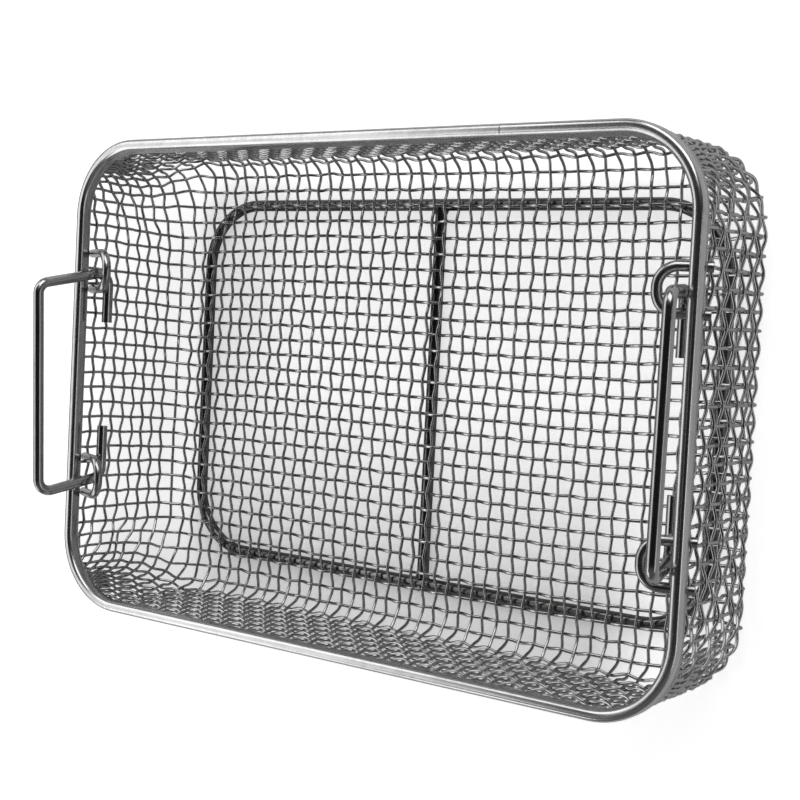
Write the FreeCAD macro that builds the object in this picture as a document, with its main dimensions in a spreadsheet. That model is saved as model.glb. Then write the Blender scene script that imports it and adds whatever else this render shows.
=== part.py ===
import FreeCAD, Part
import math
import os

import Sketcher

# Stainless wire mesh storage basket with two swinging bails, in millimetres.
# X runs along the long side, Y along the short side, Z up from the ground
# that the base frame stands on. The origin is under the middle of the basket.

SIZES = {
    # rim: a thin strip folded over the top edge of the mesh
    "rim_length": 300.0,
    "rim_width": 203.6,
    "rim_corner": 32.0,
    "rim_band": 4.4,
    "rim_depth": 5.2,
    "rim_sheet": 0.75,
    "rim_crest": 0.6,
    "rim_seat": 0.1,
    "rim_top": 69.2,
    # mesh pan: wires of one gauge, with the lands that stay between its gaps
    "wire": 1.45,
    "floor_bend": 10.0,
    "gap_columns": 10,
    "gap_rows": 7,
    "land": 3.2,
    "wire_end": 0.3,
    # base frame under the floor
    "frame_rod": 5.0,
    "frame_length": 261.0,
    "frame_width": 159.0,
    "frame_corner": 28.0,
    "weld_gap": 0.05,
    # eyelets that carry the bails, one at each end of each short side
    "eyelet_rod": 3.8,
    "eyelet_offset": 45.5,
    "eyelet_spread": 15.8,
    "eyelet_crown": 1.4,
    "eyelet_reach": 15.2,
    "eyelet_slope": 22.0,
    "eyelet_drop": 4.6,
    "eyelet_spare": 6.0,
    # bails: the arms lean and the bars slope as the wire was bent
    "bail_rod": 4.5,
    "bail_corner": 5.0,
    "bail_arm": 30.7,
    "bail_tail": 22.5,
    "bail_play": 0.3,
    "hinge_inset": 7.8,
    "left_skew": -7.0,
    "left_rise": 3.6,
    "right_skew": -1.5,
    "right_rise": -3.6,
}


class Size:
    """A number that remembers the spreadsheet expression it comes from."""

    def __init__(self, number, text):
        self.number = number
        self.text = text

    def __add__(self, other):
        other = as_size(other)
        return Size(self.number + other.number, f"({self.text} + {other.text})")

    def __sub__(self, other):
        other = as_size(other)
        return Size(self.number - other.number, f"({self.text} - {other.text})")

    def __mul__(self, other):
        other = as_size(other)
        return Size(self.number * other.number, f"({self.text} * {other.text})")

    def __truediv__(self, other):
        other = as_size(other)
        return Size(self.number / other.number, f"({self.text} / {other.text})")

    def __neg__(self):
        return Size(-self.number, f"(-1 * {self.text})")


def as_size(value):
    """Plain numbers join in expressions as they are."""
    return value if isinstance(value, Size) else Size(value, str(value))


def cosine(angle):
    return Size(math.cos(math.radians(angle.number)), f"cos({angle.text})")


def tangent(angle):
    return Size(math.tan(math.radians(angle.number)), f"tan({angle.text})")


def hypotenuse(width, height):
    return Size(math.hypot(width.number, height.number), f"hypot({width.text}; {height.text})")


def slope_of(width, height):
    number = math.degrees(math.atan2(height.number, width.number))
    return Size(number, f"atan2({height.text}; {width.text})")


def angle_of_sine(ratio):
    return Size(math.degrees(math.asin(ratio.number)), f"asin({ratio.text})")


def make_sheet(doc):
    """Put every driving size in a spreadsheet cell with its own alias."""
    sheet = doc.addObject("Spreadsheet::Sheet", "sizes")
    for row, (alias, value) in enumerate(SIZES.items(), start=1):
        sheet.set(f"A{row}", alias)
        sheet.set(f"B{row}", str(value))
        sheet.setAlias(f"B{row}", alias)
    doc.recompute()
    return {alias: Size(float(sheet.get(alias)), f"sizes.{alias}") for alias in SIZES}


def role(body, name):
    """Origin plane or axis of a body, found by its role."""
    for feature in body.Origin.OriginFeatures:
        if feature.Role == name:
            return feature
    raise ValueError(name)


def place(thing, point, axis=(0, 0, 1), angle=None):
    """Bind a body's place, and its turn about an axis, to the sheet."""
    thing.Placement.Rotation = FreeCAD.Rotation(FreeCAD.Vector(*axis), 1)
    for letter, size in zip("xyz", point):
        thing.setExpression(f"Placement.Base.{letter}", as_size(size).text)
    thing.setExpression("Placement.Rotation.Angle", as_size(0 if angle is None else angle).text)


def make_sketch(body, name, plane, offset=0):
    """Sketch on an origin plane, moved along the plane's normal."""
    sketch = body.newObject("Sketcher::SketchObject", name)
    sketch.AttachmentSupport = [(role(body, plane), "")]
    sketch.MapMode = "FlatFace"
    sketch.setExpression("AttachmentOffset.Base.z", as_size(offset).text)
    return sketch


def tilt_sketch(sketch, axis, angle):
    """Turn a sketch about one of its own axes."""
    sketch.AttachmentOffset = FreeCAD.Placement(
        sketch.AttachmentOffset.Base, FreeCAD.Rotation(FreeCAD.Vector(*axis), 1)
    )
    sketch.setExpression("AttachmentOffset.Rotation.Angle", angle.text)


def pin_point(sketch, geometry, vertex, point):
    """Hold one vertex at a place that the sheet gives."""
    for kind, size in zip(("DistanceX", "DistanceY"), point):
        size = as_size(size)
        index = sketch.addConstraint(Sketcher.Constraint(kind, -1, 1, geometry, vertex, size.number))
        sketch.setExpression(f"Constraints[{index}]", size.text)


def towards(start, end, distance):
    """Point on the way from start to end."""
    return start + (end - start).normalize() * distance


def add_outline(sketch, corners, bend, closed=True):
    """Straight runs between sharp corners, with a tangent arc in each corner."""
    bend = as_size(bend)
    sharp = [FreeCAD.Vector(as_size(x).number, as_size(y).number, 0) for x, y in corners]
    count = len(corners)
    runs = count if closed else count - 1
    bends = range(count) if closed else range(1, count - 1)
    arcs = {}
    ends = {}
    for corner in bends:
        before, here, after = sharp[corner - 1], sharp[corner], sharp[(corner + 1) % count]
        half_turn = (before - here).getAngle(after - here) / 2
        leg = bend.number / math.tan(half_turn)
        middle = towards(here, (towards(here, before, 1) + towards(here, after, 1)) / 2, 1)
        top = towards(here, middle, bend.number / math.sin(half_turn) - bend.number)
        ends[corner] = (towards(here, before, leg), towards(here, after, leg))
        arcs[corner] = sketch.addGeometry(Part.Arc(ends[corner][0], top, ends[corner][1]), False)
    lines = []
    for run in range(runs):
        following = (run + 1) % count
        start = ends[run][1] if run in ends else sharp[run]
        end = ends[following][0] if following in ends else sharp[following]
        lines.append(sketch.addGeometry(Part.LineSegment(start, end), False))
    first_arc = None
    for corner, arc in arcs.items():
        before, after = lines[corner - 1], lines[corner % runs]
        join_tangent(sketch, before, 2, arc, ends[corner][0])
        join_tangent(sketch, after, 1, arc, ends[corner][1])
        tip = sketch.addGeometry(Part.Point(sharp[corner]), True)
        sketch.addConstraint(Sketcher.Constraint("PointOnObject", tip, 1, before))
        sketch.addConstraint(Sketcher.Constraint("PointOnObject", tip, 1, after))
        pin_point(sketch, tip, 1, corners[corner])
        if first_arc is None:
            first_arc = arc
            index = sketch.addConstraint(Sketcher.Constraint("Radius", arc, bend.number))
            sketch.setExpression(f"Constraints[{index}]", bend.text)
        else:
            sketch.addConstraint(Sketcher.Constraint("Equal", first_arc, arc))
    if not closed:
        pin_point(sketch, lines[0], 1, corners[0])
        pin_point(sketch, lines[-1], 2, corners[-1])


def join_tangent(sketch, line, line_vertex, arc, point):
    """Join a line's vertex to whichever end of the arc lies at a point."""
    start = sketch.getPoint(arc, 1)
    arc_vertex = 1 if (start - point).Length < 1e-6 else 2
    sketch.addConstraint(Sketcher.Constraint("Tangent", line, line_vertex, arc, arc_vertex))


def rectangle_corners(half_x, half_y, middle_x=0, middle_y=0):
    """Four corners of an upright rectangle, in order round it."""
    middle_x, middle_y = as_size(middle_x), as_size(middle_y)
    return [
        (middle_x - half_x, middle_y - half_y),
        (middle_x + half_x, middle_y - half_y),
        (middle_x + half_x, middle_y + half_y),
        (middle_x - half_x, middle_y + half_y),
    ]


def add_rectangle(sketch, half_x, half_y, middle_x=0, middle_y=0):
    """Upright rectangle held by its corners."""
    corners = rectangle_corners(half_x, half_y, middle_x, middle_y)
    sharp = [FreeCAD.Vector(x.number, y.number, 0) for x, y in corners]
    lines = []
    for corner in range(4):
        segment = Part.LineSegment(sharp[corner], sharp[(corner + 1) % 4])
        lines.append(sketch.addGeometry(segment, False))
    for corner in range(4):
        sketch.addConstraint(Sketcher.Constraint("Coincident", lines[corner - 1], 2, lines[corner], 1))
        pin_point(sketch, lines[corner], 1, corners[corner])


def add_circle(sketch, diameter, middle=(0, 0)):
    """Circle with its centre and diameter held."""
    centre = FreeCAD.Vector(as_size(middle[0]).number, as_size(middle[1]).number, 0)
    circle = Part.Circle(centre, FreeCAD.Vector(0, 0, 1), diameter.number / 2)
    geometry = sketch.addGeometry(circle, False)
    pin_point(sketch, geometry, 3, middle)
    index = sketch.addConstraint(Sketcher.Constraint("Diameter", geometry, diameter.number))
    sketch.setExpression(f"Constraints[{index}]", diameter.text)


def make_pad(body, name, profile, length, midplane=False):
    pad = body.newObject("PartDesign::Pad", name)
    pad.Profile = profile
    pad.SideType = "Symmetric" if midplane else "One side"
    pad.setExpression("Length", length.text)
    return pad


def make_pocket(body, name, profile, depth, midplane=False):
    """Cut along the sketch's normal, or to both sides of its plane."""
    pocket = body.newObject("PartDesign::Pocket", name)
    pocket.Profile = profile
    pocket.Reversed = not midplane
    pocket.SideType = "Symmetric" if midplane else "One side"
    pocket.setExpression("Length", depth.text)
    return pocket


def make_sweep(body, name, profile, path):
    sweep = body.newObject("PartDesign::AdditivePipe", name)
    sweep.Profile = profile
    sweep.Spine = path
    return sweep


def round_edges_at(body, name, height, radius, near=1e-3):
    """Fillet every edge that lies flat at one height."""
    body.Document.recompute()
    base = body.Tip
    names = []
    for number, edge in enumerate(base.Shape.Edges, start=1):
        box = edge.BoundBox
        if abs(box.ZMin - height.number) < near and abs(box.ZMax - height.number) < near:
            names.append(f"Edge{number}")
    fillet = body.newObject("PartDesign::Fillet", name)
    fillet.Base = (base, names)
    fillet.setExpression("Radius", radius.text)
    body.Tip = fillet
    return fillet


def repeat(body, name, feature, steps):
    """Repeat one feature along one or two origin axes: (axis, length, copies)."""
    pattern = body.newObject("PartDesign::LinearPattern", name)
    pattern.Originals = [feature]
    for suffix, (axis, length, copies) in zip(("", "2"), steps):
        setattr(pattern, "Direction" + suffix, (role(body, axis), [""]))
        pattern.setExpression("Length" + suffix, as_size(length).text)
        pattern.setExpression("Occurrences" + suffix, as_size(copies).text)
    body.Tip = pattern
    return pattern


def mirror_feature(body, name, feature, plane):
    mirrored = body.newObject("PartDesign::Mirrored", name)
    mirrored.Originals = [feature]
    mirrored.MirrorPlane = (role(body, plane), [""])
    body.Tip = mirrored
    return mirrored


def new_body(doc, label):
    body = doc.addObject("PartDesign::Body", label)
    body.Label = label
    return body


def work_out_places(size):
    """Places that follow from the driving sizes and that several pieces share."""
    place_of = {}
    place_of["floor_middle"] = size["frame_rod"] + size["weld_gap"] + size["wire"]
    place_of["wall_x"] = (size["rim_length"] - size["rim_band"]) / 2
    place_of["wall_y"] = (size["rim_width"] - size["rim_band"]) / 2
    place_of["wall_corner"] = size["rim_corner"] - size["rim_band"] / 2
    place_of["rim_bottom"] = size["rim_top"] - size["rim_depth"]
    place_of["foot_x"] = place_of["wall_x"] - size["wire"] / 2
    place_of["foot_z"] = place_of["rim_bottom"] - size["eyelet_drop"]
    place_of["hinge_x"] = place_of["wall_x"] - size["hinge_inset"]
    reach = (size["eyelet_rod"] + size["bail_rod"]) / 2 + size["bail_play"]
    run = place_of["foot_x"] - place_of["hinge_x"]
    leg_z = place_of["foot_z"] + run * tangent(size["eyelet_slope"])
    place_of["hinge_z"] = leg_z - reach / cosine(size["eyelet_slope"])
    place_of["rim_round"] = (size["rim_band"] - size["rim_crest"]) / 2
    return place_of


def rest_lean(size, place_of):
    """Angle over the level at which the arms lie against the rim's inner round."""
    round_x = size["rim_length"] / 2 - size["rim_band"] + place_of["rim_round"]
    width = round_x - place_of["hinge_x"]
    height = size["rim_top"] - place_of["rim_round"] - place_of["hinge_z"]
    contact = place_of["rim_round"] + size["bail_rod"] / 2 + size["bail_play"]
    return slope_of(width, height) + angle_of_sine(contact / hypotenuse(width, height))


def make_rim(doc, size, place_of):
    """Strip folded to an upside-down channel that runs round the mesh edge."""
    body = new_body(doc, "rim_band")
    half_x, half_y = size["rim_length"] / 2, size["rim_width"] / 2
    ring = make_sketch(body, "rim_ring", "XY_Plane", place_of["rim_bottom"])
    channel = make_sketch(body, "rim_channel", "XY_Plane", place_of["rim_bottom"])
    sheet_in = size["rim_band"] - size["rim_sheet"]
    insets = {ring: (Size(0, "0"), size["rim_band"]), channel: (size["rim_sheet"], sheet_in)}
    for sketch, pair in insets.items():
        for inset in pair:
            corners = rectangle_corners(half_x - inset, half_y - inset)
            add_outline(sketch, corners, size["rim_corner"] - inset)
    make_pad(body, "rim_pad", ring, size["rim_depth"])
    make_pocket(body, "rim_fold", channel, size["rim_depth"] - size["rim_sheet"])
    round_edges_at(body, "rim_outside_round", size["rim_top"], place_of["rim_round"])
    ceiling = size["rim_top"] - size["rim_sheet"]
    round_edges_at(body, "rim_inside_round", ceiling, place_of["rim_round"] - size["rim_sheet"])
    return body


def make_mesh(doc, size, place_of):
    """Formed pan of mesh: a thin wall with gaps, and wires proud of both faces."""
    body = new_body(doc, "mesh_basket")
    form_pan(body, size, place_of)
    grid = work_out_grid(size, place_of)
    cut_floor_gaps(body, size, place_of, grid)
    cut_wall_gaps(body, size, place_of, grid)
    lay_long_wires(body, size, place_of, grid)
    lay_short_wires(body, size, place_of, grid)
    lay_hoops(body, size, place_of, grid)
    return body


def form_pan(body, size, place_of):
    """Pan with one wall thickness, deep drawn with round corners and bends."""
    half_wire = size["wire"] / 2
    top = size["rim_top"] - size["rim_sheet"] - size["rim_seat"]
    underside = place_of["floor_middle"] - half_wire
    outside = make_sketch(body, "pan_outside", "XY_Plane", underside)
    corners = rectangle_corners(place_of["wall_x"] + half_wire, place_of["wall_y"] + half_wire)
    add_outline(outside, corners, place_of["wall_corner"] + half_wire)
    make_pad(body, "pan_block", outside, top - underside)
    bend = round_edges_at(body, "pan_bend", underside, size["floor_bend"] + half_wire)
    body.Document.recompute()
    wall = body.newObject("PartDesign::Thickness", "pan_wall")
    wall.Base = (bend, [face_at(bend, top)])
    wall.Reversed = True
    wall.setExpression("Value", size["wire"].text)
    body.Tip = wall


def face_at(feature, height, near=1e-3):
    """Name of the flat face that lies at one height."""
    for number, face in enumerate(feature.Shape.Faces, start=1):
        level = abs(face.CenterOfMass.z - height.number) < near
        if level and isinstance(face.Surface, Part.Plane):
            return f"Face{number}"
    raise ValueError(feature.Name)


def work_out_grid(size, place_of):
    """Pitches and heights of the gaps in the floor and the walls."""
    grid = {}
    grid["pitch_x"] = (place_of["wall_x"] - size["floor_bend"]) * 2 / size["gap_columns"]
    grid["pitch_y"] = (place_of["wall_y"] - size["floor_bend"]) * 2 / size["gap_rows"]
    grid["half_x"] = (grid["pitch_x"] - size["land"]) / 2
    grid["half_y"] = (grid["pitch_y"] - size["land"]) / 2
    low = place_of["floor_middle"] + size["floor_bend"] + size["land"] / 2
    high = place_of["rim_bottom"] - size["land"] / 2
    grid["low"] = low
    grid["tall"] = (high - low - size["land"]) / 2
    grid["middle"] = low + grid["tall"] + size["land"] / 2
    grid["upper"] = grid["middle"] + size["land"] / 2
    grid["eyelet_low"] = place_of["foot_z"] - size["eyelet_rod"] / 2 - size["land"] / 2
    return grid


def cut_floor_gaps(body, size, place_of, grid):
    """Rows of gaps; the outermost rows are shorter because of the round corners."""
    columns, rows = size["gap_columns"], size["gap_rows"]
    counts = {"floor_gap": (columns, rows - 2), "floor_edge_gap": (columns - 2, as_size(2))}
    spans = {"floor_gap": rows - 3, "floor_edge_gap": rows - 1}
    for name, (across, along) in counts.items():
        span_x = grid["pitch_x"] * (across - 1)
        span_y = grid["pitch_y"] * spans[name]
        sketch = make_sketch(body, name + "_shape", "XY_Plane", place_of["floor_middle"])
        add_rectangle(sketch, grid["half_x"], grid["half_y"], -span_x / 2, -span_y / 2)
        gap = make_pocket(body, name, sketch, size["wire"] * 3, midplane=True)
        repeat(body, name + "s", gap, [("X_Axis", span_x, across), ("Y_Axis", span_y, along)])


def cut_wall_gaps(body, size, place_of, grid):
    """Two rows of gaps in each wall; the upper one leaves a band for the eyelets."""
    walls = {
        "long": ("XZ_Plane", "X_Axis", size["gap_columns"] - 2, "x", "wall_y", "Y_Axis"),
        "short": ("YZ_Plane", "Y_Axis", size["gap_rows"] - 2, "y", "wall_x", "X_Axis"),
    }
    for wall, (plane, axis, copies, letter, face, across) in walls.items():
        span = grid["pitch_" + letter] * (copies - 1)
        upper_tall = grid["tall"] if wall == "long" else grid["eyelet_low"] - grid["upper"]
        rows = {"lower": (grid["low"], grid["tall"]), "upper": (grid["upper"], upper_tall)}
        for row, (bottom, tall) in rows.items():
            name = f"{wall}_wall_{row}_gap"
            sketch = make_sketch(body, name + "_shape", plane, place_of[face])
            middle = bottom + tall / 2
            add_rectangle(sketch, grid["half_" + letter], tall / 2, -span / 2, middle)
            gap = make_pocket(body, name, sketch, size["wire"] * 3, midplane=True)
            opposite = place_of[face] * 2
            lengths = [(axis, span, copies), (across, opposite, as_size(2))]
            pattern = repeat(body, name + "s", gap, lengths)
            pattern.Reversed2 = plane == "YZ_Plane"


def lay_long_wires(body, size, place_of, grid):
    """Wires along X on the inside, turned up the short walls to the eyelets."""
    face = place_of["wall_x"] - size["wire"] / 2
    floor_top = place_of["floor_middle"] + size["wire"] / 2
    end = grid["eyelet_low"]
    span = grid["pitch_y"] * (size["gap_rows"] - 2)
    path = make_sketch(body, "long_wire_path", "XZ_Plane", span / 2)
    corners = [(-face, end), (-face, floor_top), (face, floor_top), (face, end)]
    add_outline(path, corners, size["floor_bend"] - size["wire"] / 2, closed=False)
    section = make_sketch(body, "long_wire_section", "XY_Plane", end)
    add_circle(section, size["wire"], (-face, -span / 2))
    wire = make_sweep(body, "long_wire", section, path)
    repeat(body, "long_wires", wire, [("Y_Axis", span, size["gap_rows"] - 1)])


def lay_short_wires(body, size, place_of, grid):
    """Wires along Y on the outside, turned up the long walls to the rim."""
    face = place_of["wall_y"] + size["wire"] / 2
    underside = place_of["floor_middle"] - size["wire"] / 2
    end = place_of["rim_bottom"] - size["wire_end"]
    span = grid["pitch_x"] * (size["gap_columns"] - 2)
    path = make_sketch(body, "short_wire_path", "YZ_Plane", -span / 2)
    corners = [(-face, end), (-face, underside), (face, underside), (face, end)]
    add_outline(path, corners, size["floor_bend"] + size["wire"] / 2, closed=False)
    section = make_sketch(body, "short_wire_section", "XY_Plane", end)
    add_circle(section, size["wire"], (-span / 2, -face))
    wire = make_sweep(body, "short_wire", section, path)
    repeat(body, "short_wires", wire, [("X_Axis", span, size["gap_columns"] - 1)])


def lay_hoops(body, size, place_of, grid):
    """Level wires half way up the walls, woven to the other face of each wall."""
    half_wire = size["wire"] / 2
    inside = place_of["wall_y"] - half_wire
    outside = place_of["wall_x"] + half_wire
    hoops = {
        "long": ("YZ_Plane", inside, "Y_Axis", place_of["wall_x"]),
        "short": ("XZ_Plane", outside, "X_Axis", place_of["wall_y"]),
    }
    for wall, (plane, face, axis, reach) in hoops.items():
        sketch = make_sketch(body, f"{wall}_hoop_section", plane)
        add_circle(sketch, size["wire"], (-face, grid["middle"]))
        straight = (reach - place_of["wall_corner"]) * 2
        hoop = make_pad(body, f"{wall}_hoop", sketch, straight, midplane=True)
        repeat(body, f"{wall}_hoops", hoop, [(axis, face * 2, 2)])


def make_frame(doc, size):
    """Rod bent to a closed loop that the basket stands on."""
    body = new_body(doc, "base_frame")
    half_x, half_y = size["frame_length"] / 2, size["frame_width"] / 2
    middle = size["frame_rod"] / 2
    path = make_sketch(body, "frame_path", "XY_Plane", middle)
    corners = [(0, -half_y), (half_x, -half_y), (half_x, half_y), (0, half_y)]
    add_outline(path, corners, size["frame_corner"], closed=False)
    section = make_sketch(body, "frame_section", "YZ_Plane")
    add_circle(section, size["frame_rod"], (-half_y, middle))
    half_loop = make_sweep(body, "frame_half", section, path)
    mirror_feature(body, "frame_loop", half_loop, "YZ_Plane")
    return body


def make_cross_bar(doc, size):
    """Rod across the middle of the base frame, coped to fit the loop's rod."""
    half_rod = size["frame_rod"] / 2
    blank = doc.addObject("Part::Cylinder", "cross_bar_blank")
    blank.setExpression("Radius", half_rod.text)
    blank.setExpression("Height", size["frame_width"].text)
    place(blank, (0, size["frame_width"] / 2, half_rod), (1, 0, 0), Size(90, "90"))
    copes = []
    for name, side in (("cope_front", -1), ("cope_rear", 1)):
        cope = doc.addObject("Part::Cylinder", name)
        cope.setExpression("Radius", (half_rod + size["weld_gap"]).text)
        cope.setExpression("Height", (size["frame_rod"] * 3).text)
        start = (size["frame_rod"] * -1.5, size["frame_width"] / 2 * side, half_rod)
        place(cope, start, (0, 1, 0), Size(90, "90"))
        copes.append(cope)
    tools = doc.addObject("Part::MultiFuse", "copes")
    tools.Shapes = copes
    bar = doc.addObject("Part::Cut", "base_cross_bar")
    bar.Base = blank
    bar.Tool = tools
    bar.Label = "base_cross_bar"
    return bar


def make_eyelet(doc, label, size, place_of, side, end):
    """Rod bent to a U that slopes up from the wall; its ends are welded there."""
    body = new_body(doc, label)
    half = size["eyelet_spread"] / 2
    slope = -size["eyelet_slope"]
    bend = half - size["eyelet_crown"] / 2
    spare = size["eyelet_spare"]
    path = make_sketch(body, label + "_path", "XY_Plane")
    tilt_sketch(path, (0, 1, 0), slope)
    reach = size["eyelet_reach"]
    corners = [(-spare, -half), (reach, -half), (reach, half), (-spare, half)]
    add_outline(path, corners, bend, closed=False)
    section = make_sketch(body, label + "_section", "YZ_Plane")
    tilt_sketch(section, (1, 0, 0), slope)
    add_circle(section, size["eyelet_rod"], (-half, 0))
    slide_section(section, spare, size)
    make_sweep(body, label + "_bend", section, path)
    trim = make_sketch(body, label + "_trim_shape", "YZ_Plane", spare * -2)
    add_rectangle(trim, size["eyelet_spread"], size["eyelet_spread"])
    make_pocket(body, label + "_trim", trim, spare * 2)
    turn = Size(180, "180") if side > 0 else Size(0, "0")
    place(body, (place_of["foot_x"] * side, size["eyelet_offset"] * end, place_of["foot_z"]), (0, 0, 1), turn)
    return body


def slide_section(section, spare, size):
    """Move a tilted section back along the sloping leg to its start."""
    slope = size["eyelet_slope"]
    sine = tangent(slope) * cosine(slope)
    section.setExpression("AttachmentOffset.Base.z", (-spare * cosine(slope)).text)
    section.setExpression("AttachmentOffset.Base.y", (-spare * sine).text)


def make_bail(doc, label, size, place_of, side, skew, rise):
    """Bent rod: two tails under the eyelets, two arms through them and a bar."""
    body = new_body(doc, label)
    root = size["eyelet_offset"]
    free = root - size["bail_tail"]
    arm = size["bail_arm"]
    corners = [
        (free, 0),
        (root, 0),
        (root + skew, arm + rise / 2),
        (skew - root, arm - rise / 2),
        (-root, 0),
        (-free, 0),
    ]
    path = make_sketch(body, label + "_path", "YZ_Plane")
    add_outline(path, corners, size["bail_corner"], closed=False)
    section = make_sketch(body, label + "_section", "XZ_Plane", -free)
    add_circle(section, size["bail_rod"])
    make_sweep(body, label + "_rod", section, path)
    from_upright = (Size(90, "90 deg") - rest_lean(size, place_of)) * side
    place(body, (place_of["hinge_x"] * side, 0, place_of["hinge_z"]), (0, 1, 0), from_upright)
    return body


def check_document(doc, parts):
    """Stop if any object failed or any piece has no good solid."""
    for thing in doc.Objects:
        if "Invalid" in thing.State or "Error" in thing.State:
            raise RuntimeError(f"{thing.Name} failed: {thing.State}")
    for part in parts:
        shape = part.Shape
        if shape.isNull() or not shape.isValid() or len(shape.Solids) != 1:
            raise RuntimeError(f"{part.Label} has no good solid")


def main():
    os.makedirs("parts", exist_ok=True)
    doc = FreeCAD.newDocument("basket")
    size = make_sheet(doc)
    place_of = work_out_places(size)
    parts = [make_rim(doc, size, place_of), make_mesh(doc, size, place_of)]
    parts.append(make_frame(doc, size))
    parts.append(make_cross_bar(doc, size))
    sides = {"left": -1, "right": 1}
    ends = {"front": -1, "rear": 1}
    for side, side_sign in sides.items():
        for end, end_sign in ends.items():
            label = f"eyelet_{side}_{end}"
            parts.append(make_eyelet(doc, label, size, place_of, side_sign, end_sign))
    for side, side_sign in sides.items():
        skew, rise = size[side + "_skew"], size[side + "_rise"]
        parts.append(make_bail(doc, "bail_" + side, size, place_of, side_sign, skew, rise))
    doc.recompute()
    check_document(doc, parts)
    for part in parts:
        part.Shape.exportStep(f"parts/{part.Label}.step")
        print(part.Label, round(part.Shape.Volume, 2), part.Shape.BoundBox)


main()
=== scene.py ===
"""Studio look of a wire mesh storage basket with two bail handles.

The classes below put the woven wires, the folded rim, the bent rods and their
welds at the places of those solids, dress them in steel and set up a plain
studio round them.
"""

import logging
import math
from dataclasses import dataclass, field
from enum import Enum

import bpy
import numpy as np
from mathutils import Matrix, Vector


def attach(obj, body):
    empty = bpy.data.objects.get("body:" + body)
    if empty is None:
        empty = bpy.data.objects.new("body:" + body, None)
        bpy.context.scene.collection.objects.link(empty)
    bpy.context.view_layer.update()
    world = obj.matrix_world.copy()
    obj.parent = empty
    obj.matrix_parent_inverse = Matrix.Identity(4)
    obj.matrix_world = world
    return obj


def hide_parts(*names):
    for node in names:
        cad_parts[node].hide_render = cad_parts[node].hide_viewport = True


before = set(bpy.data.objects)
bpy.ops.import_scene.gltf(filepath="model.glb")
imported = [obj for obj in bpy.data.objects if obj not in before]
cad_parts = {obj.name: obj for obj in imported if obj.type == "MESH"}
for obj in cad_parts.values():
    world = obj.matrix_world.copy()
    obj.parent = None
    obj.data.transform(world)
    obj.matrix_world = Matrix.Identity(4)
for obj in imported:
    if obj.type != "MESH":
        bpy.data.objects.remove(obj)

LOG = logging.getLogger("basket")
MM = 0.001
BEAD_SEED = 3
LOOP_GAP = 0.0001

Thing = bpy.types.Object
Steel = bpy.types.Material
Socket = bpy.types.NodeSocket
Triple = tuple[float, float, float]


class Slot(Enum):
    """Material slots of the record."""

    RIM = "rim_steel"
    MESH = "mesh_steel"
    FRAME = "frame_steel"
    BAIL = "bail_steel"


class Body(Enum):
    """Bodies of the part that a piece can ride on."""

    BASKET = "basket"
    LEFT = "left_handle"
    RIGHT = "right_handle"


class Side(Enum):
    """Ends of the basket, along X."""

    LEFT = -1
    RIGHT = 1


# ---------------------------------------------------------------- materials


class NodeBench:
    """Small helper that adds and links nodes of one material or world."""

    def __init__(self, tree: bpy.types.NodeTree) -> None:
        """Start from an empty tree."""
        self.tree = tree
        tree.nodes.clear()

    def add(self, kind: str, **settings: object) -> bpy.types.Node:
        """Add one node.

        Args:
            kind: Blender's type name of the node.
            **settings: Properties of the node; a dict named inputs sets sockets.

        Returns:
            The new node.
        """
        node = self.tree.nodes.new(kind)
        inputs = settings.pop("inputs", {})
        for name, value in settings.items():
            setattr(node, name, value)
        for name, value in inputs.items():
            node.inputs[name].default_value = value
        return node

    def link(self, source: Socket, target: Socket) -> None:
        """Join two sockets."""
        self.tree.links.new(source, target)

    def join(self, *links: tuple[bpy.types.Node, str | int, bpy.types.Node, str | int]) -> None:
        """Join nodes, each link being a source, its output, a target and its input."""
        for source, out, target, into in links:
            self.link(source.outputs[out], target.inputs[into])

    def math(
        self,
        operation: str,
        first: Socket | float,
        second: Socket | float = 0.0,
    ) -> Socket:
        """Add a math node.

        Args:
            operation: Name of the operation.
            first: Socket or number for the first input.
            second: Socket or number for the second input.

        Returns:
            The node's output socket.
        """
        node = self.add("ShaderNodeMath", operation=operation)
        for index, value in enumerate((first, second)):
            if isinstance(value, (int, float)):
                node.inputs[index].default_value = value
            else:
                self.link(value, node.inputs[index])
        return node.outputs[0]

    def span(
        self, value: Socket, limits: tuple[float, float], to: tuple[float, float]
    ) -> Socket:
        """Add a map range node.

        Args:
            value: Socket with the number to map.
            limits: Lowest and highest value that comes in.
            to: What these two become.

        Returns:
            The mapped value.
        """
        node = self.add("ShaderNodeMapRange")
        self.link(value, node.inputs["Value"])
        for name, number in zip(("From Min", "From Max", "To Min", "To Max"), (*limits, *to)):
            node.inputs[name].default_value = number
        return node.outputs["Result"]


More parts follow.
